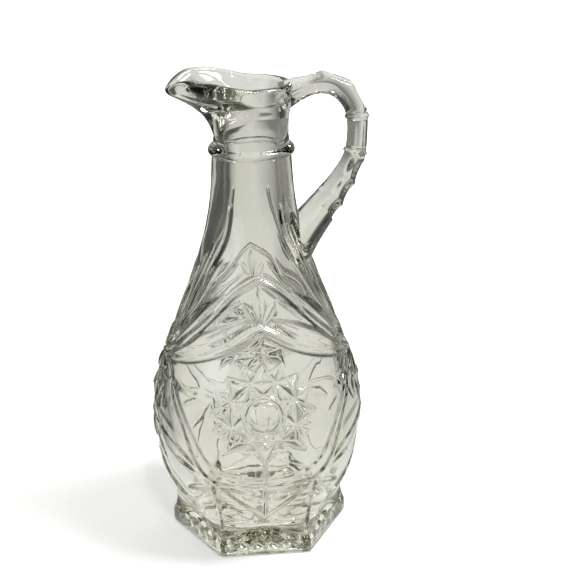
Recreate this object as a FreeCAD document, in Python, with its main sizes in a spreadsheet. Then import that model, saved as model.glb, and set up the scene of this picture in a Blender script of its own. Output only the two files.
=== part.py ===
import FreeCAD, Part
import os
from math import cos, exp, pi, radians, sin
import Sketcher
from FreeCAD import Placement, Rotation, Vector

# A pressed-glass cruet, made in one piece: a hexagonal foot, a round belly that narrows through a
# sloping shoulder to a ringed neck, a flared mouth with a pulled pouring lip, and a fluted handle.
# +Z is up and is the axis of the bottle, the lip points to -X and the handle to +X. The origin is
# the middle of the base. Lengths are millimetres.

SIZES = {
    # foot
    "foot_radius": 31.2,
    "foot_corner_round": 3.0,
    "foot_edge_height": 4.2,
    "foot_waist_height": 15.0,
    "foot_waist_radius": 27.4,
    # outside of the vessel, from the foot upwards
    "base_radius": 24.0,
    "waist_radius": 29.6,
    "waist_height": 14.0,
    "belly_radius": 35.6,
    "belly_height": 46.0,
    "brow_radius": 29.7,
    "brow_height": 70.0,
    "shoulder_radius": 22.3,
    "shoulder_height": 90.0,
    "neck_radius": 13.3,
    "neck_height": 133.0,
    "ring_height": 137.0,
    "ring_radius": 14.1,
    "ring_half": 1.7,
    "throat_radius": 12.3,
    "throat_height": 141.0,
    # inside of the vessel
    "wall": 4.2,
    "floor_height": 8.5,
    "floor_radius": 19.0,
    "floor_round": 6.0,
    "bore_radius": 9.2,
    # mouth and pouring lip
    "mouth_radius": 14.5,
    "mouth_height": 158.6,
    "lip_reach": 27.0,
    "lip_rise": 3.0,
    "lip_wall": 2.8,
    "lip_round": 1.1,
    # handle
    "handle_width": 10.0,
    "handle_depth": 7.4,
    "handle_root_width": 16.0,
    "handle_root_depth": 13.0,
    "handle_reach": 34.2,
    "handle_top": 157.2,
    "handle_crown": 17.4,
    "handle_bend": 11.3,
    "handle_back": 7.0,
    "handle_sweep": 24.0,
    "handle_sweep_angle": 45.0,
    "handle_tail": 20.0,
    "flute_start": 11.0,
    "flute_pitch": 8.0,
    "flute_depth": 1.3,
    "flute_ridge": 0.6,
}


def make_sheet(doc):
    """The driving dimensions, one row each: the name beside its value, which carries the alias."""
    sheet = doc.addObject("Spreadsheet::Sheet", "Sizes")
    for row, (name, value) in enumerate(SIZES.items(), start=1):
        sheet.set("A%d" % row, name)
        sheet.set("B%d" % row, str(value))
        sheet.setAlias("B%d" % row, name)
    doc.recompute()
    return sheet


# A length in a profile is written as words, such as "belly_radius -wall": the sum of those sizes.

def amount(words):
    """The value of a sum of sizes."""
    total = 0.0
    for word in words.split():
        name = word.lstrip("-")
        size = SIZES[name] if name in SIZES else float(name)
        total += -size if word.startswith("-") else size
    return total


def formula(words):
    """The same sum as an expression on the sheet."""
    text = ""
    for word in words.split():
        name = word.lstrip("-")
        term = "Sizes." + name if name in SIZES else name
        text += (" - " if word.startswith("-") else " + ") + term
    return "0" + text


def bind_point(sketch, geometry, corner, across, up):
    """Holds one end of an edge at a place given by two sums of sizes."""
    for kind, words in (("DistanceX", across), ("DistanceY", up)):
        value = amount(words)
        index = sketch.addConstraint(Sketcher.Constraint(kind, -1, 1, geometry, corner, value))
        sketch.setExpression("Constraints[%d]" % index, formula(words))


def arc_centre(start, end, level, on_axis):
    """The centre of an arc between two points, with one of its coordinates given."""
    if on_axis == "level":
        gap = end.x - start.x
        square = end.x ** 2 - start.x ** 2 + (end.y - level) ** 2 - (start.y - level) ** 2
        return Vector(square / (2 * gap), level, 0)
    rise = end.y - start.y
    square = end.y ** 2 - start.y ** 2 + (end.x - level) ** 2 - (start.x - level) ** 2
    return Vector(level, square / (2 * rise), 0)


def draw_profile(sketch, corners):
    """Closes a profile through its corners. Each corner is (across, up, edge to the next one); an
    edge is None for a line, or (which coordinate of the arc's centre is given, that coordinate)."""
    places = [Vector(amount(across), amount(up), 0) for across, up, edge in corners]
    count = len(corners)
    ends = []
    for index, (across, up, edge) in enumerate(corners):
        start = places[index]
        end = places[(index + 1) % count]
        if edge is None:
            sketch.addGeometry(Part.LineSegment(start, end), False)
            ends.append((1, 2))
            continue
        which, words = edge
        centre = arc_centre(start, end, amount(words), which)
        circle = Part.Circle(centre, Vector(0, 0, 1), centre.distanceToPoint(start))
        first = circle.parameter(start)
        last = circle.parameter(end)
        forward = (last - first) % (2 * pi) < pi
        span = (first, last) if forward else (last, first)
        sketch.addGeometry(Part.ArcOfCircle(circle, *span), False)
        ends.append((1, 2) if forward else (2, 1))
    for index, (across, up, edge) in enumerate(corners):
        before = (index - 1) % count
        sketch.addConstraint(Sketcher.Constraint("Coincident", before, ends[before][1], index,
                                                 ends[index][0]))
        bind_point(sketch, index, ends[index][0], across, up)
        if edge is not None:
            kind = "DistanceY" if edge[0] == "level" else "DistanceX"
            number = sketch.addConstraint(
                Sketcher.Constraint(kind, -1, 1, index, 3, amount(edge[1])))
            sketch.setExpression("Constraints[%d]" % number, formula(edge[1]))


def revolved_body(doc, name, corners):
    """A body turned from a profile drawn in the XZ plane."""
    body = doc.addObject("PartDesign::Body", name)
    plane = [item for item in body.Origin.OriginFeatures if item.Role == "XZ_Plane"][0]
    axis = [item for item in body.Origin.OriginFeatures if item.Role == "Z_Axis"][0]
    sketch = body.newObject("Sketcher::SketchObject", name + "Profile")
    sketch.AttachmentSupport = [(plane, "")]
    sketch.MapMode = "FlatFace"
    draw_profile(sketch, corners)
    turn = body.newObject("PartDesign::Revolution", name + "Turn")
    turn.Profile = sketch
    turn.ReferenceAxis = (axis, [""])
    turn.Angle = 360
    doc.recompute()
    return body


def outer_vessel(doc):
    """Belly, shoulder, neck and ring, as turned. The foot and the mouth join its two ends."""
    return revolved_body(doc, "Vessel", [
        ("0", "0", None),
        ("base_radius", "0", None),
        ("waist_radius", "waist_height", ("level", "belly_height")),
        ("belly_radius", "belly_height", ("level", "belly_height")),
        ("brow_radius", "brow_height", None),
        ("shoulder_radius", "shoulder_height", ("level", "neck_height")),
        ("neck_radius", "neck_height", None),
        ("throat_radius", "ring_height -ring_half", ("level", "ring_height")),
        ("ring_radius", "ring_height", ("level", "ring_height")),
        ("throat_radius", "ring_height ring_half", None),
        ("throat_radius", "throat_height", None),
        ("0", "throat_height", None),
    ])


def inner_space(doc):
    """The hollow inside, up to where the mouth begins to flare."""
    return revolved_body(doc, "Hollow", [
        ("0", "floor_height", None),
        ("floor_radius", "floor_height", ("line", "floor_radius")),
        ("floor_radius floor_round", "floor_height floor_round", ("level", "belly_height")),
        ("belly_radius -wall", "belly_height", ("level", "belly_height")),
        ("brow_radius -wall", "brow_height", None),
        ("shoulder_radius -wall", "shoulder_height", ("level", "neck_height")),
        ("bore_radius", "neck_height", None),
        ("bore_radius", "throat_height 0.01", None),
        ("0", "throat_height 0.01", None),
    ])


def foot(doc):
    """A six-sided foot with rounded corners, its top sloping in like the chamfer of a nut."""
    prism = doc.addObject("Part::Prism", "FootPrism")
    prism.Polygon = 6
    prism.setExpression("Circumradius", "Sizes.foot_radius")
    prism.setExpression("Height", "Sizes.foot_waist_height")
    prism.Placement = Placement(Vector(0, 0, 0), Rotation(Vector(0, 0, 1), 0))
    doc.recompute()
    upright = [index for index, edge in enumerate(prism.Shape.Edges, start=1)
               if abs(edge.tangentAt(edge.FirstParameter).z) > 0.9]
    rounded = doc.addObject("Part::Fillet", "FootRounded")
    rounded.Base = prism
    rounded.Edges = [(index, SIZES["foot_corner_round"], SIZES["foot_corner_round"])
                     for index in upright]
    cap = revolved_body(doc, "FootCap", [
        ("0", "0", None),
        ("foot_radius 1", "0", None),
        ("foot_radius 1", "foot_edge_height -0.5", None),
        ("foot_waist_radius", "foot_waist_height", None),
        ("0", "foot_waist_height", None),
    ])
    blank = doc.addObject("Part::Common", "Foot")
    blank.Base = rounded
    blank.Tool = cap
    doc.recompute()
    return blank


def lip_share(angle):
    """How much of the lip's reach the mouth's outline has at an angle, in degrees, from the lip:
    all of it at the tip, a broad skirt round the sides and nothing towards the handle."""
    skirt_end = 108.0
    tip_spread = 9.0
    skirt = 0.5 + 0.5 * cos(pi * min(abs(angle) / skirt_end, 1.0))
    return 0.25 * exp(-(angle / tip_spread) ** 2) + 0.75 * skirt


def outline(doc, name, height, plain, reach):
    """A closed smooth outline at one height: a circle drawn out to its reach at the lip."""
    steps = 48
    points = []
    for step in range(steps):
        angle = -180.0 + 360.0 * step / steps
        radius = plain + (reach - plain) * lip_share(angle)
        points.append(Vector(-radius * cos(radians(angle)), radius * sin(radians(angle)), height))
    curve = Part.BSplineCurve()
    curve.interpolate(Points=points, PeriodicFlag=True)
    ring = doc.addObject("Part::Feature", name)
    ring.Shape = Part.Wire([curve.toShape()])
    return ring


# How the mouth opens out from the throat to the rim: at each share of the height, the share of the
# widening that a plain side and the lip have. The last one lies above the rim, and is trimmed off.
FLARE = [(0.0, 0.0, 0.0), (0.2, 0.04, 0.06), (0.42, 0.22, 0.2), (0.62, 0.52, 0.42),
         (0.8, 0.8, 0.74), (1.0, 1.0, 1.0), (1.3, 1.15, 1.1)]


def mouth_solid(doc, name, throat, rim, reach):
    """The flare of the mouth, lofted through outlines."""
    low = SIZES["throat_height"]
    rise = SIZES["mouth_height"] - low
    sections = []
    for number, (share, side, lip) in enumerate(FLARE):
        plain = throat + (rim - throat) * side
        tip = throat + (reach - throat) * lip
        sections.append(outline(doc, "%sOutline%d" % (name, number), low + rise * share, plain,
                                tip))
    loft = doc.addObject("Part::Loft", name)
    loft.Sections = sections
    loft.Solid = True
    loft.Ruled = False
    doc.recompute()
    return loft


def rim_trim(doc):
    """What is taken off above the rim, which rises towards the lip and dips again at its tip."""
    sketch = doc.addObject("Sketcher::SketchObject", "RimLine")
    sketch.Placement = Placement(Vector(0, 0, 0), Rotation(Vector(1, 0, 0), 90))
    draw_profile(sketch, [
        ("60", "mouth_height", None),
        ("0", "mouth_height", ("line", "0")),
        ("-20", "mouth_height lip_rise", ("line", "-22")),
        ("-lip_reach -1.5", "mouth_height -0.5", None),
        ("-lip_reach -10", "mouth_height -3", None),
        ("-lip_reach -10", "mouth_height 30", None),
        ("60", "mouth_height 30", None),
    ])
    block = doc.addObject("Part::Extrusion", "RimTrim")
    block.Base = sketch
    block.Dir = Vector(0, 1, 0)
    block.LengthFwd = 60
    block.Symmetric = True
    block.Solid = True
    doc.recompute()
    return block


def handle_spine():
    """The middle line of the handle in the XZ plane, from the rim over the crown and down its back
    to the shoulder."""
    reach = SIZES["handle_reach"]
    top = SIZES["handle_top"]
    bend = SIZES["handle_bend"]
    crown = SIZES["handle_crown"]
    sweep = SIZES["handle_sweep"]
    turn = radians(SIZES["handle_sweep_angle"])
    peak = Vector(reach - bend, 0, top)
    crown_centre = peak - Vector(0, 0, crown)
    bend_centre = peak - Vector(0, 0, bend)
    sweep_centre = bend_centre + Vector(bend - sweep, 0, -SIZES["handle_back"])

    def on_circle(centre, radius, angle):
        return centre + Vector(radius * cos(angle), 0, radius * sin(angle))

    start = on_circle(crown_centre, crown, radians(90 + 38))
    crown_middle = on_circle(crown_centre, crown, radians(90 + 19))
    bend_middle = on_circle(bend_centre, bend, radians(45))
    back_top = bend_centre + Vector(bend, 0, 0)
    back_low = back_top - Vector(0, 0, SIZES["handle_back"])
    sweep_middle = on_circle(sweep_centre, sweep, -turn / 2)
    sweep_end = on_circle(sweep_centre, sweep, -turn)
    tail_end = sweep_end + Vector(-sin(turn), 0, -cos(turn)) * SIZES["handle_tail"]
    return Part.Wire([
        Part.Arc(start, crown_middle, peak).toShape(),
        Part.Arc(peak, bend_middle, back_top).toShape(),
        Part.LineSegment(back_top, back_low).toShape(),
        Part.Arc(back_low, sweep_middle, sweep_end).toShape(),
        Part.LineSegment(sweep_end, tail_end).toShape(),
    ])


def along(wire, distance):
    """The point and the direction at a distance along the spine."""
    for edge in wire.OrderedEdges:
        if distance <= edge.Length + 1e-6:
            break
        distance -= edge.Length
    place = edge.getParameterByLength(min(distance, edge.Length))
    return edge.valueAt(place), edge.tangentAt(place)


def handle(doc):
    """The handle, an oval bar swept along its spine, that widens into the shoulder. Short hollow
    flutes run across its back, with a ridge between each two."""
    spine = doc.addObject("Part::Feature", "HandleSpine")
    spine.Shape = handle_spine()
    length = spine.Shape.Length
    tail_start = length - SIZES["handle_tail"] - SIZES["handle_sweep"] * 0.5
    sections = []
    for distance, part in ((0.0, ""), (tail_start, ""), (length, "root_")):
        place, direction = along(spine.Shape, distance)
        outward = direction.cross(Vector(0, 1, 0))
        section = doc.addObject("Part::Ellipse", "HandleSection%d" % len(sections))
        section.setExpression("MajorRadius", "Sizes.handle_%swidth / 2" % part)
        section.setExpression("MinorRadius", "Sizes.handle_%sdepth / 2" % part)
        section.Placement = Placement(place, Rotation(Vector(0, 1, 0), outward, direction, "ZXY"))
        sections.append(section)
    bar = doc.addObject("Part::Sweep", "HandleBar")
    bar.Sections = sections
    bar.Spine = (spine, [])
    bar.Solid = True
    chord = SIZES["flute_pitch"] - SIZES["flute_ridge"]
    depth = SIZES["flute_depth"]
    radius = ((chord / 2) ** 2 + depth ** 2) / (2 * depth)
    cutters = []
    distance = SIZES["flute_start"]
    while distance < length - SIZES["flute_pitch"]:
        place, direction = along(spine.Shape, distance)
        outward = direction.cross(Vector(0, 1, 0))
        grown = max(0.0, (distance - tail_start) / (length - tail_start))
        half = (SIZES["handle_depth"] * (1 - grown) + SIZES["handle_root_depth"] * grown) / 2
        cutter = doc.addObject("Part::Cylinder", "Flute%d" % len(cutters))
        cutter.setExpression("Radius", "((Sizes.flute_pitch - Sizes.flute_ridge) ^ 2 / 4 + "
                             "Sizes.flute_depth ^ 2) / (2 * Sizes.flute_depth)")
        cutter.setExpression("Height", "Sizes.handle_root_width * 2")
        axis = place + outward * (half + radius - depth) + Vector(0, SIZES["handle_root_width"], 0)
        cutter.Placement = Placement(axis, Rotation(Vector(1, 0, 0), 90))
        cutters.append(cutter)
        distance += SIZES["flute_pitch"]
    flutes = doc.addObject("Part::MultiFuse", "Flutes")
    flutes.Shapes = cutters
    cut = doc.addObject("Part::Cut", "Handle")
    cut.Base = bar
    cut.Tool = flutes
    doc.recompute()
    return cut


def cruet(doc):
    """The whole piece: the outside joined up, with the inside taken out of it."""
    trim = rim_trim(doc)
    flare = mouth_solid(doc, "MouthOuter", SIZES["throat_radius"], SIZES["mouth_radius"],
                        SIZES["lip_reach"])
    mouth = doc.addObject("Part::Cut", "Mouth")
    mouth.Base = flare
    mouth.Tool = trim
    whole = doc.addObject("Part::MultiFuse", "Outside")
    whole.Shapes = [outer_vessel(doc), foot(doc), mouth, handle(doc)]
    throat = mouth_solid(doc, "MouthInner", SIZES["bore_radius"],
                         SIZES["mouth_radius"] - SIZES["lip_wall"],
                         SIZES["lip_reach"] - SIZES["lip_wall"] * 1.3)
    inside = doc.addObject("Part::MultiFuse", "Inside")
    inside.Shapes = [inner_space(doc), throat]
    piece = doc.addObject("Part::Cut", "Cruet")
    piece.Label = "cruet"
    piece.Base = whole
    piece.Tool = inside
    piece.Placement = Placement()
    doc.recompute()
    return [piece]


def check(doc, pieces):
    """Stops at any object that failed, and at any sub-part that isn't a valid solid."""
    for item in doc.Objects:
        if "Invalid" in item.State or "Error" in item.State:
            raise RuntimeError("%s failed: %s" % (item.Label, item.State))
    for piece in pieces:
        shape = piece.Shape
        if shape.isNull() or not shape.isValid() or len(shape.Solids) != 1:
            raise RuntimeError("%s isn't one valid solid" % piece.Label)


def main():
    doc = FreeCAD.newDocument("Cruet")
    make_sheet(doc)
    pieces = cruet(doc)
    check(doc, pieces)
    os.makedirs("parts", exist_ok=True)
    for piece in pieces:
        piece.Shape.exportStep("parts/%s.step" % piece.Label)
        box = piece.Shape.BoundBox
        print("%s: %.1f x %.1f x %.1f mm, %.1f ml of glass" % (
            piece.Label, box.XLength, box.YLength, box.ZLength, piece.Shape.Volume / 1000))


main()
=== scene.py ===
"""A pressed-glass cruet: a hexagonal foot, a star-cut belly, a ringed neck, a pulled lip and a
fluted handle, all in one piece of clear glass."""

import math

import bpy
import numpy as np
from bpy.props import FloatProperty, FloatVectorProperty, PointerProperty
from mathutils import Matrix, Vector


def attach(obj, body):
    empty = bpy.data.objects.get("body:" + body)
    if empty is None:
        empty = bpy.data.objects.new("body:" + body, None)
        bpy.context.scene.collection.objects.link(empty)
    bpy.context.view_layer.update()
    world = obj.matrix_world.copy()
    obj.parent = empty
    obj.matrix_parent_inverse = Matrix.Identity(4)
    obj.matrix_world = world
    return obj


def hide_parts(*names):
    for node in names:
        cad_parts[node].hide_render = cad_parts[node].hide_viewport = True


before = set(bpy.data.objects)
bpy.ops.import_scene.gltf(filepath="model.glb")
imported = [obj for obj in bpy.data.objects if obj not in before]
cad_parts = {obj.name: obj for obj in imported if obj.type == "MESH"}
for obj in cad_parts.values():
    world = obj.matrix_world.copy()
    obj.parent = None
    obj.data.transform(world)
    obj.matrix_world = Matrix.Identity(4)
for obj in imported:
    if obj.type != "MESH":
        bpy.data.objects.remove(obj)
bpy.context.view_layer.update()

bl_info = {
    "name": "Pressed-glass cruet",
    "version": (1, 0, 0),
    "blender": (4, 5, 0),
    "location": "3D Viewport > Sidebar > Cruet",
    "description": "Builds a one-piece pressed-glass cruet and a plain studio stage for it",
    "category": "Add Mesh",
}

MM = 0.001


# Colours and nodes

def linear(hex_colour):
    """A hex sRGB colour as linear red, green, blue and alpha."""
    text = hex_colour.lstrip("#")
    parts = [int(text[i:i + 2], 16) / 255 for i in (0, 2, 4)]
    made = [c / 12.92 if c <= 0.04045 else ((c + 0.055) / 1.055) ** 2.4 for c in parts]
    return (*made, 1.0)


def add_node(tree, kind, links=None, **settings):
    """Adds a node. A setting is one of the node's own properties, or a socket given as its name or
    number, with an underscore before a number. A link is a socket's name or number and its
    source."""
    made = tree.nodes.new(kind)
    for name, value in settings.items():
        if name.startswith("_"):
            made.inputs[int(name[1:])].default_value = value
        elif hasattr(made, name):
            setattr(made, name, value)
        else:
            made.inputs[name.replace("_", " ")].default_value = value
    for socket, source in (links or {}).items():
        tree.links.new(source, made.inputs[socket])
    return made


def new_material(name):
    """An empty node material and its output node."""
    made = bpy.data.materials.new(name)
    made.use_nodes = True
    made.node_tree.nodes.clear()
    return made, made.node_tree.nodes.new("ShaderNodeOutputMaterial")


def link_object(name, mesh):
    made = bpy.data.objects.new(name, mesh)
    bpy.context.scene.collection.objects.link(made)
    return made


# Curves

def smooth_curve(points, at):
    """A natural cubic curve through (place, value) points, read at the given places."""
    knots, values = np.array(points, float).T
    gaps = np.diff(knots)
    count = len(knots)
    system = np.eye(count)
    right = np.zeros(count)
    for i in range(1, count - 1):
        system[i, i - 1:i + 2] = gaps[i - 1], 2 * (gaps[i - 1] + gaps[i]), gaps[i]
        right[i] = 3 * ((values[i + 1] - values[i]) / gaps[i]
                        - (values[i] - values[i - 1]) / gaps[i - 1])
    bend = np.linalg.solve(system, right)
    at = np.clip(np.asarray(at, float), knots[0], knots[-1])
    i = np.clip(np.searchsorted(knots, at) - 1, 0, count - 2)
    t = at - knots[i]
    slope = (values[i + 1] - values[i]) / gaps[i] - gaps[i] * (2 * bend[i] + bend[i + 1]) / 3
    cube = (bend[i + 1] - bend[i]) / (3 * gaps[i])
    return values[i] + slope * t + bend[i] * t ** 2 + cube * t ** 3


def smooth_path(points, count):
    """Evenly spaced spots on a smooth curve through points: both coordinates, and how far along."""
    marks = np.array(points, float)
    steps = np.concatenate([[0], np.cumsum(np.hypot(*np.diff(marks, axis=0).T))])
    spots = np.linspace(0, steps[-1], count)
    across, up = (smooth_curve(np.column_stack([steps, side]), spots) for side in marks.T)
    return across, up, spots


def between(start, end, share):
    """The place at a share of the way from start to end."""
    return tuple(a + (b - a) * share for a, b in zip(start, end))


# The vessel's outside and inside. Heights and radii are in millimetres, and angles in degrees
# from the front, growing towards the handle. A line is a list of (height, radius), and those of
# the foot's faces and corners are (share of the way from the foot's edge to BLEND_TOP, radius).

WALL_LINE = [(0, 29.0), (14, 29.9), (22, 31.7), (30, 34.1), (38, 35.4), (46, 35.8), (54, 35.1),
             (62, 33.1), (70, 29.8), (80, 26.0), (90, 22.2), (100, 19.0), (110, 16.1), (120, 14.2),
             (130, 13.3), (136, 12.9), (142, 12.1)]
HOLLOW_LINE = [(13, 22.5), (22, 27.2), (30, 29.8), (38, 31.1), (46, 31.5), (55, 30.7), (65, 27.9),
               (75, 24.0), (85, 20.0), (95, 16.3), (105, 13.2), (115, 10.9), (125, 9.6), (137, 9.2),
               (153, 9.2)]
FOOT_FACE = 27.0
FOOT_CORNER = 31.2
FOOT_EDGE = 4.6
FOOT_ARCH = 3.6
BLEND_TOP = 31.0
RING_HEIGHT = 137.0
RING_HALF = 1.55
RING_DEPTH = 1.35
FACE_LINE = [(0, 27.0), (0.05, 26.0), (0.12, 25.8), (0.25, 26.9), (0.45, 29.4), (0.6, 31.0),
             (0.8, 32.9), (1, 34.35)]
CORNER_LINE = [(0, 31.2), (0.09, 30.3), (0.2, 29.7), (0.35, 30.0), (0.5, 30.9), (0.65, 32.0),
               (0.8, 33.1), (1, 34.35)]


def corner_share(angle):
    """0 in the middle of each of the six faces and 1 at the corners between them."""
    off = np.radians((angle + 30) % 60 - 30)
    share = (1 / np.cos(off) - 1) / (1 / math.cos(math.radians(30)) - 1)
    return share * (1 - 0.05 * share ** 6)


def foot_edge(angle):
    """The height of the foot's upper edge, which arches up in the middle of each face."""
    off = (angle + 30) % 60 - 30
    return FOOT_EDGE + FOOT_ARCH * np.cos(np.radians(off * 3)) ** 2


def wall_radius(height):
    return smooth_curve(WALL_LINE, height)


def body_radius(angle, height):
    """The plain outside, without its pattern: six-sided at the foot, round from the belly up."""
    share = corner_share(angle)
    edge = foot_edge(angle)
    part = np.clip((height - edge) / (BLEND_TOP - edge), 0, 1)
    low = (1 - share) * smooth_curve(FACE_LINE, part) + share * smooth_curve(CORNER_LINE, part)
    radius = np.where(height < BLEND_TOP, low, wall_radius(height))
    ring = np.clip(1 - ((height - RING_HEIGHT) / RING_HALF) ** 2, 0, 1)
    return radius + RING_DEPTH * np.sqrt(ring)


# The pattern. It is the same on the front and the back, and on the left and the right of each, so
# it is drawn once between the front (0 degrees) and the side (90). A place is (angle, height).

def flat(place):
    """A place on the unrolled wall, in millimetres."""
    angle, height = place
    return np.array([math.radians(angle) * float(wall_radius(height)), height])


class Relief:
    """How far the pattern is raised, sunk and cut at many places of the wall at once."""

    def __init__(self, across, up):
        self.across = across
        self.up = up
        self.raised = np.zeros(across.shape)
        self.sunk = np.zeros(across.shape)
        self.cut = np.zeros(across.shape)

    def put(self, height):
        np.maximum(self.raised, height, out=self.raised)
        np.minimum(self.sunk, height, out=self.sunk)

    def edge_distance(self, start, end):
        """How far each place is to the left of the line from start to end."""
        (x0, z0), (x1, z1) = start, end
        length = math.hypot(x1 - x0, z1 - z0)
        return ((x1 - x0) * (self.up - z0) - (z1 - z0) * (self.across - x0)) / length

    def line_distance(self, start, end):
        """How far each place is from the stretch between start and end, and how far along."""
        (x0, z0), (x1, z1) = start, end
        run = (x1 - x0) ** 2 + (z1 - z0) ** 2
        share = ((self.across - x0) * (x1 - x0) + (self.up - z0) * (z1 - z0)) / run
        share = np.clip(share, 0, 1)
        return np.hypot(self.across - x0 - share * (x1 - x0),
                        self.up - z0 - share * (z1 - z0)), share

    def gem(self, corners, top, height):
        """A flat-sided gem over a convex outline, its facets meeting at the top."""
        corners = [flat(place) for place in corners]
        top = flat(top)
        middle = sum(corners) / len(corners)
        facets = None
        for start, end in zip(corners, corners[1:] + corners[:1]):
            (x0, z0), (x1, z1) = start, end
            left = (x1 - x0) * (middle[1] - z0) - (z1 - z0) * (middle[0] - x0) > 0
            if not left:
                start, end = end, start
            distance = self.edge_distance(start, end)
            (x0, z0), (x1, z1) = start, end
            full = ((x1 - x0) * (top[1] - z0) - (z1 - z0) * (top[0] - x0))
            full /= math.hypot(x1 - x0, z1 - z0)
            facet = distance / full
            facets = facet if facets is None else np.minimum(facets, facet)
        self.put(height * np.clip(facets, 0, 1))

    def ridge(self, places, half_width, height, round_top=False, taper=0.0):
        """A roof-shaped or rounded ridge along a curve through places."""
        path = curve_places(places)
        best = None
        count = len(path) - 1
        for number, (start, end) in enumerate(zip(path[:-1], path[1:])):
            distance, share = self.line_distance(start, end)
            along = (number + share) / count
            width = half_width * (1 - taper * along)
            part = np.clip(1 - distance / width, 0, 1)
            best = part if best is None else np.maximum(best, part)
        if round_top:
            best = np.sqrt(np.clip(1 - (1 - best) ** 2, 0, 1))
        self.put(height * best)

    def leaf(self, start, end, half_width, height, hollow=False):
        """A pointed leaf between two places, with a ridge along its middle or scooped hollow."""
        (x0, z0), (x1, z1) = flat(start), flat(end)
        length = math.hypot(x1 - x0, z1 - z0)
        along = ((self.across - x0) * (x1 - x0) + (self.up - z0) * (z1 - z0)) / length ** 2
        off = ((x1 - x0) * (self.up - z0) - (z1 - z0) * (self.across - x0)) / length
        clipped = np.clip(along, 0, 1)
        bulge = 1 - (2 * clipped - 1) ** 2
        width = np.maximum(half_width * bulge, 1e-6)
        part = np.clip(1 - np.abs(off) / width, 0, 1)
        if hollow:
            part = 1 - (1 - part) ** 2
        self.put(height * part * np.sqrt(bulge) * ((along > 0) & (along < 1)))

    def groove(self, start, end, half_width=0.55, depth=0.5):
        """A fine cut between two places, which takes away from whatever it crosses."""
        distance, _ = self.line_distance(flat(start), flat(end))
        self.cut = np.maximum(self.cut, depth * np.clip(1 - distance / half_width, 0, 1))

    def distance_from(self, place):
        across, up = flat(place)
        return np.hypot(self.across - across, self.up - up)

    def dome(self, place, radius, height):
        """A round button, like a lens."""
        self.put(height * np.clip(1 - (self.distance_from(place) / radius) ** 2, 0, 1))

    def hoop(self, place, radius, half_width, height):
        """A round ridge."""
        off = np.abs(self.distance_from(place) - radius)
        self.put(height * np.clip(1 - off / half_width, 0, 1))

    def ring_cut(self, place, radius, half_width, depth):
        """A round groove."""
        off = np.abs(self.distance_from(place) - radius)
        self.cut = np.maximum(self.cut, depth * np.clip(1 - off / half_width, 0, 1))


def curve_places(places):
    """Points on a smooth curve through places, on the unrolled wall."""
    marks = np.array([flat(place) for place in places])
    if len(marks) == 2:
        return list(marks)
    across, up, _ = smooth_path(marks, 5 * (len(marks) - 1) + 1)
    return list(np.column_stack([across, up]))


STAR = (0, 56.7)
STAR_TIPS = [(0, 72.6), (22, 68.4), (29.3, 56.7), (22, 43.7), (0, 40.2)]
STAR_NOTCHES = [(7.6, 67.2), (17.8, 61.4), (17.2, 53.0), (7.2, 48.6)]
STAR_HEIGHT = 1.6
BUTTON_RADIUS = 5.3
FAN = (88, 68)
BAND_A = [(0, 83.0), (5, 82.2), (11, 80.6), (19, 78.2), (34, 74.6), (46, 72.2), (60, 70.0),
          (76, 68.4)]
BAND_B = [(0, 98.4), (16, 95.2), (35, 87.4), (49.5, 80.4), (60.5, 75.2), (74, 70.6)]
BAND_C = [(33.5, 120), (36.7, 111.4), (46, 104), (55.5, 96.6), (63, 89.0), (73, 81.2), (83, 72.5)]
ARCH_OUT = [(80, 67.4), (65, 64.9), (60, 60.0), (49, 50.6), (40, 37.8), (33, 33.0), (28, 31.1)]
ARCH_IN = [(60, 62.5), (50.3, 55.6), (40.5, 47.2), (33.7, 40.0), (26, 36.0), (13, 34.2), (0, 33.8)]
SIDE_ARC = [(29, 31.4), (40, 35.7), (48, 39.3), (60, 42.7), (75, 45.2), (90, 46.0)]


def draw_pattern(relief):
    """Every part of the pattern in one quarter of the wall."""
    star_gems(relief)
    bands(relief)
    lower_triangle(relief)
    side_fan(relief)


def mirrored(place):
    return (-place[0], place[1])


def star_gems(relief):
    """The star: eight long points cut as roofs, a crown of small facets in the angles between
    them, a round button in its middle and a V of three small facets on each side below it."""
    tips = STAR_TIPS
    notches = [mirrored(STAR_NOTCHES[0])] + STAR_NOTCHES + [mirrored(STAR_NOTCHES[-1])]
    for number, tip in enumerate(tips):
        left, right = notches[number], notches[number + 1]
        base = between(left, right, 0.5)
        inner = between(STAR, base, 0.6)
        relief.gem([left, right, tip], between(base, tip, 0.3), STAR_HEIGHT)
        relief.gem([left, right, inner], between(base, inner, 0.45), STAR_HEIGHT * 0.75)
        for side in (left, right):
            relief.groove(side, tip)
            relief.groove(side, inner, 0.45, 0.35)
        relief.groove(left, right, 0.45, 0.35)
    for number, notch in enumerate(notches[1:-1]):
        out_across, out_up = notch[0] - STAR[0], notch[1] - STAR[1]
        outer = (STAR[0] + out_across * 1.62, STAR[1] + out_up * 1.5)
        middle = (STAR[0] + out_across * 1.3, STAR[1] + out_up * 1.25)
        for tip in tips[number:number + 2]:
            toward = between(tip, notch, 0.5)
            top = tuple(sum(side) / 3 for side in zip(toward, outer, notch))
            relief.gem([notch, toward, outer], top, STAR_HEIGHT * 0.45)
            relief.groove(toward, outer, 0.38, 0.22)
        relief.groove(notch, middle, 0.4, 0.25)
    relief.hoop(STAR, BUTTON_RADIUS + 1.1, 0.8, 0.9)
    relief.ring_cut(STAR, BUTTON_RADIUS + 0.3, 0.5, 0.5)
    relief.ring_cut(STAR, BUTTON_RADIUS + 2.0, 0.5, 0.4)
    relief.dome(STAR, BUTTON_RADIUS, 1.9)
    for step in range(3):
        x, z = between((1.4, 40.7), (7.6, 45.0), (step + 0.5) / 3)
        relief.gem([(x - 1.1, z - 1.5), (x + 1.3, z + 0.3), (x + 0.4, z + 1.4),
                    (x - 1.9, z - 0.4)], (x - 0.3, z), 0.8)


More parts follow.
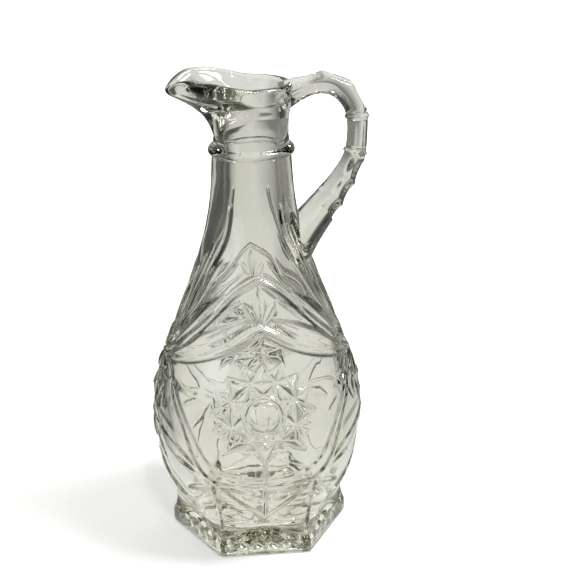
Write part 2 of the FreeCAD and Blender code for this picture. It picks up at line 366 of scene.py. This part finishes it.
def bands(relief):
    """The bands that rise to a point over the star, the arches beside it, and the long leaves
    that fan out between the bands."""
    relief.ridge(BAND_A, 1.7, 0.95, round_top=True, taper=0.55)
    relief.ridge(BAND_B, 0.95, 0.75, taper=0.35)
    relief.ridge(BAND_C, 0.95, 0.7)
    relief.ridge(ARCH_OUT, 0.8, 0.6)
    relief.ridge(ARCH_IN, 0.8, 0.55)
    relief.ridge(SIDE_ARC, 0.8, 0.6)
    relief.leaf((78, 69.6), (8, 86.5), 2.2, -0.8, hollow=True)
    relief.leaf((74, 71.8), (14, 92.0), 1.9, -0.7, hollow=True)
    relief.leaf((80, 71.6), (30, 93.5), 2.0, -0.8, hollow=True)
    relief.leaf((82, 74.0), (36, 104.0), 2.4, -0.8, hollow=True)
    relief.leaf((90, 74.0), (52, 108.0), 2.4, -0.7, hollow=True)
    relief.leaf((90, 71.0), (90, 101.0), 3.0, 0.7)
    relief.leaf((0, 84.5), (0, 96.5), 2.0, 0.6)
    relief.leaf((2, 84.5), (14, 91.5), 1.7, 0.5)
    relief.gem([(0, 78.0), (5.0, 75.6), (0, 73.6), (-5.0, 75.6)], (0, 75.8), 0.35)


def lower_triangle(relief):
    """The triangle below the star, its spine, and the leaves and V beside it."""
    relief.ridge([(0, 40.2), (0, 16.1)], 0.75, 0.65)
    relief.ridge([(0, 31.1), (28, 31.1)], 0.75, 0.55)
    relief.ridge([(28, 31.1), (0, 16.0)], 0.8, 0.65)
    relief.leaf((2.6, 28.2), (23.0, 30.0), 1.5, -0.75)
    relief.leaf((2.0, 25.0), (14.0, 26.2), 1.2, -0.5)
    relief.leaf((29.5, 31.2), (28.3, 22.4), 1.5, -0.8, hollow=True)
    relief.ridge([(28, 31.1), (29.5, 20), (30, 11)], 0.9, 0.45)
    relief.leaf((33, 29.5), (52, 24.5), 1.7, -0.7)
    relief.leaf((34, 33.0), (58, 36.5), 1.7, 0.6)
    relief.ridge([(28, 31.1), (60, 17.0), (88, 31.0)], 0.8, 0.55)


def side_fan(relief):
    """The fan of leaves at the side, and the diamonds and leaves below it."""
    for number in range(5):
        turn = math.radians(-62 + 31 * number)
        tip = (90 - 27.0 * math.cos(turn), FAN[1] + 12.0 * math.sin(turn))
        relief.leaf(FAN, tip, 1.5, 0.85)
    relief.leaf((66, 63.4), (43, 61.2), 1.7, -0.8)
    relief.gem([(90, 61), (97, 57), (90, 50), (83, 57)], (90, 56), 0.9)
    relief.gem([(83, 57), (90, 50), (80, 47.5), (72, 53)], (81, 52), 0.6)
    relief.leaf((70, 60), (78, 48), 1.6, 0.6)
    relief.leaf((90, 44.5), (90, 34), 2.4, 0.8)
    relief.leaf((86, 43), (66, 32), 2.0, -0.8)
    relief.leaf((90, 33), (90, 17), 1.9, -0.7)


# No pattern reaches this height
PATTERN_TOP = 124
# The pattern is cut deeper below and above the star panel: (height, share of its plain depth)
PATTERN_DEPTH = [(30, 1.55), (40, 1.1), (46, 1.0), (70, 1.0), (84, 1.3), (104, 1.0)]


def relief_height(angle, height):
    """The pattern's height over the plain wall, with the whole way round folded onto a quarter."""
    folded = np.abs((angle + 180) % 360 - 180)
    folded = np.minimum(folded, 180 - folded)
    relief = Relief(np.radians(folded) * wall_radius(height), height)
    draw_pattern(relief)
    depth = np.interp(height, *zip(*PATTERN_DEPTH))
    return depth * (relief.raised + relief.sunk - relief.cut)


# The vessel as rows of points, from the middle of the base up the outside, over the rim and down
# the inside

def spaced(start, end, step):
    """Places from start up to end, without the end."""
    return list(np.linspace(start, end, max(1, round(abs(end - start) / step)), endpoint=False))


def column_angles(fine, coarse):
    """Columns round the wall, closer together across the two star panels."""
    quarter = spaced(0, 33, fine) + spaced(33, 90, coarse)
    half = quarter + [90] + [180 - a for a in reversed(quarter[1:])]
    return np.array(half + [a + 180 for a in half])


# The mouth opens at the throat, and its funnel ends at the bore. The rim's crest, radius and wall
# are those by the handle, and change to the lip's towards its tip.
THROAT = 141.5
MOUTH_EDGE = 0.35
FUNNEL_END = 152.6
RIM_CREST = 158.6
RIM_RADIUS = 13.9
RIM_WALL = 2.9
RIM_ROUND = 1.4
LIP_REACH = 27.0
# Seen from above, the outline widens to the lip over this many degrees on each side, and its last
# share of the reach is a narrower point
LIP_SKIRT = 108
LIP_POINT = 17
POINT_SHARE = 0.18
LIP_WALL = 3.3
LIP_RISE = 3.0
LIP_TURN = 20.0
LIP_DIP = 3.4
FLARE = [(0, 0), (0.2, 0.03), (0.42, 0.2), (0.62, 0.48), (0.8, 0.78), (0.93, 0.96), (1, 1)]
LIP_FLARE = [(0, 0), (0.2, 0.07), (0.42, 0.2), (0.62, 0.42), (0.8, 0.74), (0.92, 0.96), (1, 1)]


def mouth_share(angle):
    """How much of the lip's reach the mouth's outline has: all at the tip, none by the handle."""
    off = np.abs((angle + 90 + 180) % 360 - 180)
    skirt = 0.5 + 0.5 * np.cos(np.pi * np.minimum(off / LIP_SKIRT, 1))
    point = np.exp(-(off / LIP_POINT) ** 2)
    return POINT_SHARE * point + (1 - POINT_SHARE) * skirt


def rim_height(across):
    """The rim's crest, which rises towards the lip as far as LIP_TURN and dips at the tip."""
    rise = LIP_RISE * np.sin(np.clip(-across / LIP_TURN, 0, 1) * np.pi / 2) ** 1.4
    dip = np.clip((-across - LIP_TURN) / (LIP_REACH - LIP_TURN), 0, 1)
    return RIM_CREST + rise - LIP_DIP * dip ** 2


def mouth_points(angle, share):
    """A row of the mouth's outside, at a share of the way from the throat to the rim."""
    part = mouth_share(angle)
    rim = RIM_RADIUS + (LIP_REACH - RIM_RADIUS) * part
    neck = float(wall_radius(THROAT))
    plain = smooth_curve(FLARE, share)
    lip = smooth_curve(LIP_FLARE, share)
    radius = neck + (rim - neck) * (plain + (lip - plain) * part)
    top = rim_height(rim * np.sin(np.radians(angle))) - RIM_ROUND
    # The moulded edge where the straight neck ends and the mouth opens
    radius = radius + MOUTH_EDGE * np.clip((share - 0.48) / 0.05, 0, 1) * (1 - share)
    return radius, THROAT + (top - THROAT) * share


def rim_rows(angle):
    """The rounded rim and the funnel inside it, down to the narrow bore."""
    part = mouth_share(angle)
    outer = RIM_RADIUS + (LIP_REACH - RIM_RADIUS) * part
    crest = rim_height(outer * np.sin(np.radians(angle)))
    thick = RIM_WALL + (LIP_WALL - RIM_WALL) * part
    rows = []
    for turn in (15, 35, 55, 75, 100, 125, 150):
        back = math.radians(turn)
        rows.append((outer - thick / 2 * (1 - math.cos(back)),
                     crest - RIM_ROUND * (1 - math.sin(back))))
    inner = outer - thick
    top = crest - RIM_ROUND
    bore = float(smooth_curve(HOLLOW_LINE, FUNNEL_END))
    for share in np.linspace(0, 1, 22):
        side = (1 - share) ** (0.8 + 0.35 * part)
        rows.append((bore + (inner - bore) * side, top + (FUNNEL_END - top) * share ** 0.9))
    return rows


BASE_HOLLOW = 1.5
RAY_DEPTH = 1.1
RAY_PITCH = 15


def base_height(angle, part):
    """The underside: a shallow hollow with rays cut outwards from its middle."""
    hollow = BASE_HOLLOW * max(0.0, 1 - (part / 0.88) ** 8)
    ray = 1 - np.abs((angle / RAY_PITCH) % 1 * 2 - 1)
    reach = np.clip((0.84 - part) / 0.12, 0, 1) * min(1.0, part / 0.3)
    return hollow + RAY_DEPTH * reach * ray


def vessel_rows(angle):
    """The outside's rows as (radius, height). No radius stands for the wall with its pattern."""
    share = corner_share(angle)
    foot = FOOT_FACE + (FOOT_CORNER - FOOT_FACE) * share
    edge = foot_edge(angle)
    rows = []
    for part in (0.08, *np.arange(0.16, 0.9, 0.04), 0.9):
        rows.append((foot * part, base_height(angle, part)))
    rows.append((foot - 0.7, np.zeros(angle.shape)))
    for height, inset in ((0.15, 0.35), (0.45, 0.1), (0.8, 0.0)):
        rows.append((foot - inset, np.full(angle.shape, height)))
    for part in spaced(0.16, 1.0, 0.1):
        rows.append((foot, edge * part))
    # About half a millimetre apart
    for part in spaced(0, 1, 0.5 / (BLEND_TOP - 7)):
        rows.append((None, edge + (BLEND_TOP - edge) * part))
    heights = spaced(BLEND_TOP, 38, 0.5) + spaced(38, 75, 0.38) + spaced(75, 104, 0.5)
    heights += spaced(104, 122, 0.8) + spaced(122, 134.6, 1.4)
    heights += spaced(134.9, 139.1, 0.22) + spaced(139.1, THROAT, 0.8)
    for height in heights:
        rows.append((None, np.full(angle.shape, height)))
    for part in np.linspace(0, 1, 24):
        rows.append(mouth_points(angle, part))
    return rows


FLOOR_EDGE = 13
FLOOR_ROUND = 4.5
FLOOR_CROWN = 0.9


def hollow_rows(angle):
    """The inside, from the bore down to the middle of the floor."""
    ones = np.ones(angle.shape)
    rows = []
    for height in spaced(FUNNEL_END - 0.4, 104, 1.6) + spaced(104, FLOOR_EDGE, 1.1):
        rows.append((hollow_radius(angle, height), ones * height))
    side = float(hollow_radius(np.array([0.0]), FLOOR_EDGE)[0])
    for turn in (0, 15, 30, 45, 60, 75, 90):
        back = math.radians(turn)
        rows.append((ones * (side - FLOOR_ROUND * (1 - math.cos(back))),
                     ones * (FLOOR_EDGE - FLOOR_ROUND * math.sin(back))))
    for part in (0.85, 0.65, 0.45, 0.25, 0.1):
        crown = FLOOR_CROWN * (1 - part ** 2) ** 2
        rows.append((ones * (side - FLOOR_ROUND) * part,
                     ones * (FLOOR_EDGE - FLOOR_ROUND + crown)))
    return rows


def hollow_radius(angle, height):
    """The blown inside is smooth, and very slightly uneven."""
    turn = np.radians(angle)
    uneven = 0.2 * np.sin(2 * turn + height / 17) + 0.14 * np.sin(3 * turn - height / 9)
    uneven = uneven + 0.12 * np.sin(5 * turn + height / 7) + 0.07 * np.sin(8 * turn - height / 5)
    fade = np.clip((130 - height) / 30, 0, 1)
    return smooth_curve(HOLLOW_LINE, height) + uneven * fade


def ring_mesh(name, loops, centre_low, centre_high):
    """A closed mesh from loops of points, each joined to the next, with both ends closed. A loop
    has as many points as the one before it, or half as many."""
    points = [np.array([centre_low])]
    starts = []
    total = 1
    for loop in loops:
        starts.append(total)
        total += len(loop)
        points.append(loop)
    points.append(np.array([centre_high]))
    faces = []
    first = len(loops[0])
    for i in range(first):
        faces.append((0, starts[0] + i, starts[0] + (i + 1) % first))
    for number in range(len(loops) - 1):
        low, high = starts[number], starts[number + 1]
        count, other = len(loops[number]), len(loops[number + 1])
        if count == other:
            index = np.arange(count)
            after = (index + 1) % count
            quads = np.column_stack([low + index, high + index, high + after, low + after])
            faces.extend(map(tuple, quads.tolist()))
            continue
        step = count // other
        for i in range(other):
            fine = [low + (i * step + k) % count for k in range(step, -1, -1)]
            faces.append((*fine, high + i, high + (i + 1) % other))
    last = len(loops[-1])
    for i in range(last):
        faces.append((total, starts[-1] + (i + 1) % last, starts[-1] + i))
    mesh = bpy.data.meshes.new(name)
    mesh.from_pydata((np.vstack(points) * MM).tolist(), [], faces)
    mesh.update()
    if volume(mesh) < 0:
        mesh.flip_normals()
    return mesh


def volume(mesh):
    """The volume that a closed mesh holds, negative where its faces look inwards."""
    mesh.calc_loop_triangles()
    corners = np.empty(len(mesh.vertices) * 3)
    mesh.vertices.foreach_get("co", corners)
    corners = corners.reshape(-1, 3)
    index = np.empty(len(mesh.loop_triangles) * 3, int)
    mesh.loop_triangles.foreach_get("vertices", index)
    a, b, c = corners[index.reshape(-1, 3)].transpose(1, 0, 2)
    return float(np.einsum("ij,ij->i", a, np.cross(b, c)).sum() / 6)


def to_points(angle, radius, height):
    """A row as points in the frame, where the front looks along -Y and the handle along +X."""
    turn = np.radians(angle)
    return np.column_stack([radius * np.sin(turn), -radius * np.cos(turn),
                            np.broadcast_to(height, angle.shape)])


def vessel_mesh(settings):
    """The whole vessel without its handle, closed from the base over the rim to the floor."""
    angle = column_angles(settings.fine_step, settings.coarse_step)
    loops = []
    for radius, height in vessel_rows(angle):
        if radius is None:
            radius = body_radius(angle, height)
            if height.min() < PATTERN_TOP:
                radius = radius + settings.relief * relief_height(angle, height)
        loops.append(to_points(angle, radius, height))
    for radius, height in rim_rows(angle):
        loops.append(to_points(angle, radius, height))
    thin = angle[::2]
    for radius, height in hollow_rows(thin):
        loops.append(to_points(thin, radius, height))
    floor_middle = FLOOR_EDGE - FLOOR_ROUND + FLOOR_CROWN
    return ring_mesh("cruet_vessel", loops, (0, 0, BASE_HOLLOW), (0, 0, floor_middle))


# The handle

HANDLE_LINE = [(10.5, 153.4), (14.6, 155.3), (18.6, 156.9), (23.0, 157.6), (27.6, 156.7),
               (31.3, 153.8), (33.7, 149.6), (34.5, 144.8), (34.4, 139.4), (33.6, 133.4),
               (31.0, 127.6), (26.8, 121.2), (21.4, 114.4), (15.8, 107.4), (10.5, 100.8)]
# Half widths and half depths, each as (share of the way, size)
HANDLE_WIDTH = [(0, 5.6), (0.06, 4.8), (0.28, 4.7), (0.55, 4.9), (0.75, 5.9), (0.9, 7.8), (1, 9.5)]
HANDLE_DEPTH = [(0, 4.4), (0.06, 3.7), (0.25, 3.8), (0.42, 3.2), (0.55, 3.6), (0.74, 4.9),
                (0.88, 6.0), (1, 8.0)]
# The bar's flat faces: the way each looks, in degrees from the back, and how far out it is
HANDLE_FACES = [(0, 1), (90, 1), (-90, 1), (180, 1), (132, 0.86), (-132, 0.86), (45, 1.17),
                (-45, 1.17)]
# The higher this is, the sharper are the edges between the faces
EDGE_POWER = 16
# The collars, the slimmer stretch between them and the scoops, in millimetres. The scoops start
# at a distance from the handle's upper end and stop at one from its lower end.
COLLAR_HEIGHT = 0.55
COLLAR_HALF = 0.9
WAIST = 0.35
SCOOP_START = 6.0
SCOOP_PITCH = 7.6
SCOOP_DEPTH = 1.25
SCOOP_END = 19.0


def handle_mesh(settings):
    """The handle: an eight-sided bar with a collar at each end of its straight part, and short
    scoops across its back with a sharp crest between each two."""
    count = 240
    x, z, spots = smooth_path(HANDLE_LINE, count)
    length = spots[-1]
    dx, dz = np.gradient(x), np.gradient(z)
    size = np.hypot(dx, dz)
    out_x, out_z = -dz / size, dx / size
    width = smooth_curve(HANDLE_WIDTH, spots / length)
    depth = smooth_curve(HANDLE_DEPTH, spots / length)
    turn = np.linspace(0, 2 * np.pi, 80, endpoint=False)
    c, s = np.cos(turn), np.sin(turn)
    reach = sum(np.clip(np.cos(turn - math.radians(face)) / far, 0, None) ** EDGE_POWER
                for face, far in HANDLE_FACES) ** (-1 / EDGE_POWER)
    first, second = settings.collar_one / MM, settings.collar_two / MM
    loops = []
    for i, spot in enumerate(spots):
        collar = max(COLLAR_HEIGHT * max(0.0, 1 - ((spot - place) / COLLAR_HALF) ** 2)
                     for place in (first, second))
        straight = first < spot < second
        plain = straight or spot < SCOOP_START or spot > length - SCOOP_END
        phase = (spot - SCOOP_START) / SCOOP_PITCH % 1
        scoop = 0.0 if plain else SCOOP_DEPTH * 4 * phase * (1 - phase)
        deep = depth[i] * c * reach - scoop * np.clip(c, 0, 1) ** 2 + collar * c
        wide = width[i] * s * reach + (collar - (WAIST if straight else 0.0)) * s
        loops.append(np.column_stack([x[i] + out_x[i] * deep, wide, z[i] + out_z[i] * deep]))
    return ring_mesh("cruet_handle", loops, (x[0], 0, z[0]), (x[-1], 0, z[-1]))


# The glass left between the handle's root and the hollow
ROOT_WALL = 0.6


def plug_mesh():
    """What the handle's root is trimmed back to, so that it stays inside the wall."""
    angle = np.arange(0, 360, 3.0)
    heights = np.arange(80, 152, 2.0)
    loops = []
    for height in heights:
        radius = float(smooth_curve(HOLLOW_LINE, height)) + ROOT_WALL
        loops.append(to_points(angle, np.full(angle.shape, radius), height))
    return ring_mesh("cruet_plug", loops, (0, 0, heights[0]), (0, 0, heights[-1]))


def combine(target, tool, operation):
    """Joins the tool to the target or takes it away, and drops the tool."""
    step = target.modifiers.new("step", "BOOLEAN")
    step.operation = operation
    step.solver = "MANIFOLD"
    step.object = tool
    graph = bpy.context.evaluated_depsgraph_get()
    made = bpy.data.meshes.new_from_object(target.evaluated_get(graph))
    if len(made.polygons) < len(target.data.polygons) // 2:
        raise RuntimeError("%s: %s came out empty" % (target.name, operation))
    target.modifiers.clear()
    target.data = made
    bpy.data.objects.remove(tool)


# Materials

def pressed_glass(settings):
    """Clear soda-lime glass, pressed in an iron mould and fire-polished: bright and sharp where it
    is thin, grey-green where it is thick, with a very faint ripple left by the mould."""
    made, output = new_material("pressed soda-lime glass, fire-polished")
    tree = made.node_tree
    place = add_node(tree, "ShaderNodeTexCoord")
    # The ripple of a pressed wall, about 7 mm from crest to crest
    ripple = add_node(tree, "ShaderNodeTexNoise", {"Vector": place.outputs["Object"]},
                      Scale=140.0, Detail=1.0, Roughness=0.4)
    bump = add_node(tree, "ShaderNodeBump", {"Height": ripple.outputs["Fac"]},
                    Strength=0.25, Distance=0.0004)
    glass = add_node(tree, "ShaderNodeBsdfPrincipled", {"Normal": bump.outputs["Normal"]},
                     Base_Color=tuple(settings.glass_colour) + (1.0,), Roughness=0.0, IOR=1.52)
    glass.inputs["Transmission Weight"].default_value = 1.0
    depth = add_node(tree, "ShaderNodeVolumeAbsorption", Color=linear("#d6d7c3"),
                     Density=settings.glass_depth)
    tree.links.new(glass.outputs["BSDF"], output.inputs["Surface"])
    tree.links.new(depth.outputs["Volume"], output.inputs["Volume"])
    return made


# The painted strip of light that the glass sees on the paper, a glow and not lamplight: how its
# tone changes from one (place, share) to another along an axis, in metres. It is painted darker to
# the left and the right, towards the camera and far behind.
PAINTED_STRIP_SHADES = [("X", (-0.13, 0.12), (-0.045, 1.0)), ("X", (0.045, 1.0), (0.2, 0.32)),
                ("Y", (-0.2, 0.4), (-0.02, 1.0)), ("Y", (0.1, 1.0), (0.4, 0.84))]


def paper_floor(settings):
    """Matt white paper, which keeps the shadow and reads as white to the camera. In the glass it is
    a painted strip of light between painted darker sides, glowing and not lit by the lamps, and
    this draws the edges and facets of the glass."""
    made, output = new_material("matt white paper sweep")
    tree = made.node_tree
    path = add_node(tree, "ShaderNodeLightPath")
    paper = add_node(tree, "ShaderNodeBsdfDiffuse", Color=linear("#e9e9e7"), Roughness=1.0)
    place = add_node(tree, "ShaderNodeTexCoord")
    away = add_node(tree, "ShaderNodeVectorMath", {0: place.outputs["Object"]},
                    operation="LENGTH")
    # Far from the cruet and its shadow the paper is plain white to the camera
    away = add_node(tree, "ShaderNodeMapRange", {"Value": away.outputs["Value"]},
                    From_Min=0.16, From_Max=0.5, To_Min=settings.floor_lift, To_Max=1.0)
    level = add_node(tree, "ShaderNodeMath",
                     {0: path.outputs["Is Camera Ray"], 1: away.outputs[0]},
                     operation="MULTIPLY")
    glow = add_node(tree, "ShaderNodeEmission", {"Strength": level.outputs[0]},
                    Color=(1, 1, 1, 1))
    seen = add_node(tree, "ShaderNodeAddShader", {0: paper.outputs[0], 1: glow.outputs[0]})
    parts = add_node(tree, "ShaderNodeSeparateXYZ", {0: place.outputs["Object"]})
    # Painted light: for the glass, the paper glows as a strip that is bright behind the cruet and
    # painted darker to the sides, towards the camera and far behind
    tone = add_node(tree, "ShaderNodeValue")
    tone.outputs[0].default_value = settings.painted_strip_glow
    for axis, (start, low), (end, high) in PAINTED_STRIP_SHADES:
        shade = add_node(tree, "ShaderNodeMapRange", {"Value": parts.outputs[axis]},
                         From_Min=start, From_Max=end, To_Min=low, To_Max=high)
        tone = add_node(tree, "ShaderNodeMath", {0: tone.outputs[0], 1: shade.outputs[0]},
                        operation="MULTIPLY")
    strip = add_node(tree, "ShaderNodeEmission", {"Strength": tone.outputs[0]},
                     Color=linear("#f4f4f1"))
    glass = add_node(tree, "ShaderNodeMath",
                     {0: path.outputs["Is Transmission Ray"], 1: path.outputs["Is Glossy Ray"]},
                     operation="MAXIMUM")
    both = add_node(tree, "ShaderNodeMixShader",
                    {0: glass.outputs[0], 1: seen.outputs[0], 2: strip.outputs[0]})
    tree.links.new(both.outputs[0], output.inputs["Surface"])
    return made


# Settings

class CruetGlass(bpy.types.PropertyGroup):
    relief: FloatProperty(name="Relief", description="Depth of the pressed pattern", default=1.15,
                          min=0.0, max=1.5, subtype="FACTOR")
    fine_step: FloatProperty(name="Fine step", description="Degrees between columns on the stars",
                             default=0.55, min=0.3, max=3.0)
    coarse_step: FloatProperty(name="Coarse step", description="Degrees between other columns",
                               default=0.82, min=0.3, max=5.0)
    collar_one: FloatProperty(name="First collar", description="Distance along the handle",
                              default=0.0305, unit="LENGTH", subtype="DISTANCE")
    collar_two: FloatProperty(name="Second collar", description="Distance along the handle",
                              default=0.0425, unit="LENGTH", subtype="DISTANCE")
    glass_colour: FloatVectorProperty(name="Glass colour", description="Tint of the surface",
                                      default=linear("#fbfbf8")[:3], size=3, subtype="COLOR",
                                      min=0.0, max=1.0)
    glass_depth: FloatProperty(name="Glass depth", description="How soon the glass takes colour",
                               default=38.0, min=0.0, max=400.0)


class CruetStage(bpy.types.PropertyGroup):
    floor_lift: FloatProperty(name="Floor lift", description="White added to the floor in view",
                              default=0.36, min=0.0, max=1.0)
    # The strength of the painted strip of light that the paper shows in the glass
    painted_strip_glow: FloatProperty(name="Glass lift", description="The paper's tone in the glass",
                              default=1.03, min=0.0, max=2.0)
    key_power: FloatProperty(name="Key lamp", description="Power of the large soft lamp",
                             default=7.5, unit="POWER")
    fill_power: FloatProperty(name="Fill lamp", description="Power of the smaller soft lamp",
                              default=1.4, unit="POWER")
    sparkle_power: FloatProperty(name="Sparkle lamps", description="Power of each small lamp",
                                 default=0.9, unit="POWER")
    camera_distance: FloatProperty(name="Camera distance", description="From the axis, level",
                                   default=0.3901, unit="LENGTH", subtype="DISTANCE")
    camera_height: FloatProperty(name="Camera height", description="Above the floor",
                                 default=0.2395, unit="LENGTH", subtype="DISTANCE")
    camera_lens: FloatProperty(name="Lens", description="Focal length in millimetres",
                               default=76.7, min=10.0, max=300.0)


class CRUET_OT_glass(bpy.types.Operator):
    """Build the cruet's vessel and handle and join them into one piece of glass"""
    bl_idname = "cruet.glass"
    bl_label = "Build the cruet"

    def execute(self, context):
        settings = context.scene.cruet_glass
        vessel = link_object("cruet_glass", vessel_mesh(settings))
        grip = link_object("cruet_grip", handle_mesh(settings))
        plug = link_object("cruet_plug", plug_mesh())
        combine(grip, plug, "DIFFERENCE")
        combine(vessel, grip, "UNION")
        joined = vessel.data
        joined.shade_smooth()
        joined.materials.clear()
        joined.materials.append(pressed_glass(settings))
        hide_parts("cruet")
        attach(vessel, "root")
        return {"FINISHED"}


class CRUET_OT_stage(bpy.types.Operator):
    """Lay the paper floor, hang the lamps and set up the camera"""
    bl_idname = "cruet.stage"
    bl_label = "Build the stage"

    def execute(self, context):
        settings = context.scene.cruet_stage
        build_floor(settings)
        build_world(context.scene)
        build_lamps(settings)
        build_camera(context.scene, settings)
        return {"FINISHED"}


# Half the paper's width, and how far it lies under the foot, in metres
FLOOR_HALF = 2.5
FLOOR_DROP = 0.0002


def build_floor(settings):
    mesh = bpy.data.meshes.new("floor")
    half = FLOOR_HALF
    mesh.from_pydata([(-half, -half, 0), (half, -half, 0), (half, half, 0), (-half, half, 0)], [],
                     [(0, 1, 2, 3)])
    floor = link_object("floor", mesh)
    floor.location.z = -FLOOR_DROP
    mesh.materials.append(paper_floor(settings))


def build_world(scene):
    """White to the camera. The glass sees a pale back and ceiling between dark sides."""
    world = bpy.data.worlds.new("studio")
    scene.world = world
    world.use_nodes = True
    tree = world.node_tree
    tree.nodes.clear()
    path = add_node(tree, "ShaderNodeLightPath")
    place = add_node(tree, "ShaderNodeTexCoord")
    parts = add_node(tree, "ShaderNodeSeparateXYZ", {0: place.outputs["Generated"]})
    # The paper curves up behind; the room behind the camera is dim, under a pale ceiling
    back = add_node(tree, "ShaderNodeMapRange", {"Value": parts.outputs["Y"]},
                    From_Min=-0.1, From_Max=0.45, To_Min=0.035, To_Max=0.8)
    top = add_node(tree, "ShaderNodeMapRange", {"Value": parts.outputs["Z"]},
                   From_Min=0.55, From_Max=0.75, To_Min=0.0, To_Max=0.6)
    # Dark screens stand at both sides and draw the edges of the glass
    side = add_node(tree, "ShaderNodeMath", {0: parts.outputs["X"]}, operation="ABSOLUTE")
    side = add_node(tree, "ShaderNodeMapRange", {"Value": side.outputs[0]},
                    From_Min=0.22, From_Max=0.6, To_Min=1.0, To_Max=0.05)
    room = add_node(tree, "ShaderNodeMath", {0: back.outputs[0], 1: top.outputs[0]},
                    operation="ADD")
    room = add_node(tree, "ShaderNodeMath", {0: room.outputs[0], 1: side.outputs[0]},
                    operation="MULTIPLY")
    room = add_node(tree, "ShaderNodeBackground", {"Strength": room.outputs[0]},
                    Color=linear("#f4f3ef"))
    white = add_node(tree, "ShaderNodeBackground", Color=(1, 1, 1, 1), Strength=1.0)
    mix = add_node(tree, "ShaderNodeMixShader", {0: path.outputs["Is Camera Ray"],
                                                 1: room.outputs[0], 2: white.outputs[0]})
    output = add_node(tree, "ShaderNodeOutputWorld", {"Surface": mix.outputs[0]})
    output.is_active_output = True


def add_lamp(name, place, target, size, power, colour):
    """An area lamp at a place, turned to a target."""
    data = bpy.data.lights.new(name, "AREA")
    data.shape = "RECTANGLE"
    data.size, data.size_y = size
    data.energy = power
    data.color = linear(colour)[:3]
    lamp = bpy.data.objects.new(name, data)
    bpy.context.scene.collection.objects.link(lamp)
    lamp.location = place
    lamp.rotation_euler = (Vector(target) - Vector(place)).to_track_quat("-Z", "Y").to_euler()


def build_lamps(settings):
    add_lamp("key", (0.5, -0.12, 0.8), (0, 0, 0.06), (0.32, 0.32), settings.key_power, "#fffefb")
    add_lamp("fill", (-0.62, -0.42, 0.42), (0, 0, 0.08), (0.5, 0.7), settings.fill_power,
             "#eef3ff")
    # Small bright lamps put the sparkle on the facets and the rim
    for number, place in enumerate(((-0.25, 0.5, 0.55), (0.3, 0.55, 0.4), (0.05, -0.5, 0.75))):
        add_lamp("sparkle_%d" % number, place, (0, 0, 0.05), (0.05, 0.05),
                 settings.sparkle_power, "#ffffff")


# The way that the camera stands round the cruet and how it is turned from there, in radians
CAMERA_TURN = -0.0636
CAMERA_PAN = 0.0307
CAMERA_PITCH = 0.3721
CAMERA_ROLL = -0.0121


def build_camera(scene, settings):
    data = bpy.data.cameras.new("camera")
    data.lens = settings.camera_lens
    data.sensor_width = 36.0
    data.clip_start, data.clip_end = 0.01, 20.0
    camera = bpy.data.objects.new("camera", data)
    scene.collection.objects.link(camera)
    scene.camera = camera
    heading = Matrix.Rotation(CAMERA_TURN - CAMERA_PAN, 3, "Z")
    right = heading @ Vector((1, 0, 0))
    forward = heading @ Vector((0, 1, 0))
    up = Vector((0, 0, 1))
    ahead = forward * math.cos(CAMERA_PITCH) - up * math.sin(CAMERA_PITCH)
    above = up * math.cos(CAMERA_PITCH) + forward * math.sin(CAMERA_PITCH)
    across = right * math.cos(CAMERA_ROLL) + above * math.sin(CAMERA_ROLL)
    above = above * math.cos(CAMERA_ROLL) - right * math.sin(CAMERA_ROLL)
    frame_matrix = Matrix((across, above, -ahead)).transposed().to_4x4()
    place = Matrix.Rotation(CAMERA_TURN, 3, "Z") @ Vector((0, -settings.camera_distance,
                                                           settings.camera_height))
    camera.matrix_world = Matrix.Translation(place) @ frame_matrix
    scene.view_settings.view_transform = "Standard"
    scene.cycles.max_bounces = 24
    scene.cycles.transmission_bounces = 24
    scene.cycles.glossy_bounces = 8


class CRUET_PT_panel(bpy.types.Panel):
    """The cruet's sizes and its stage"""
    bl_idname = "CRUET_PT_panel"
    bl_label = "Pressed-glass cruet"
    bl_space_type = "VIEW_3D"
    bl_region_type = "UI"
    bl_category = "Cruet"

    def draw(self, context):
        for settings, button in ((context.scene.cruet_glass, CRUET_OT_glass.bl_idname),
                                 (context.scene.cruet_stage, CRUET_OT_stage.bl_idname)):
            box = self.layout.box()
            for name in settings.__annotations__:
                box.prop(settings, name)
            box.operator(button)


CLASSES = (CruetGlass, CruetStage, CRUET_OT_glass, CRUET_OT_stage, CRUET_PT_panel)


def register():
    for item in CLASSES:
        bpy.utils.register_class(item)
    bpy.types.Scene.cruet_glass = PointerProperty(type=CruetGlass)
    bpy.types.Scene.cruet_stage = PointerProperty(type=CruetStage)


def unregister():
    del bpy.types.Scene.cruet_stage
    del bpy.types.Scene.cruet_glass
    for item in reversed(CLASSES):
        bpy.utils.unregister_class(item)


def main():
    register()
    bpy.ops.cruet.glass()
    bpy.ops.cruet.stage()


if __name__ == "__main__":
    main()
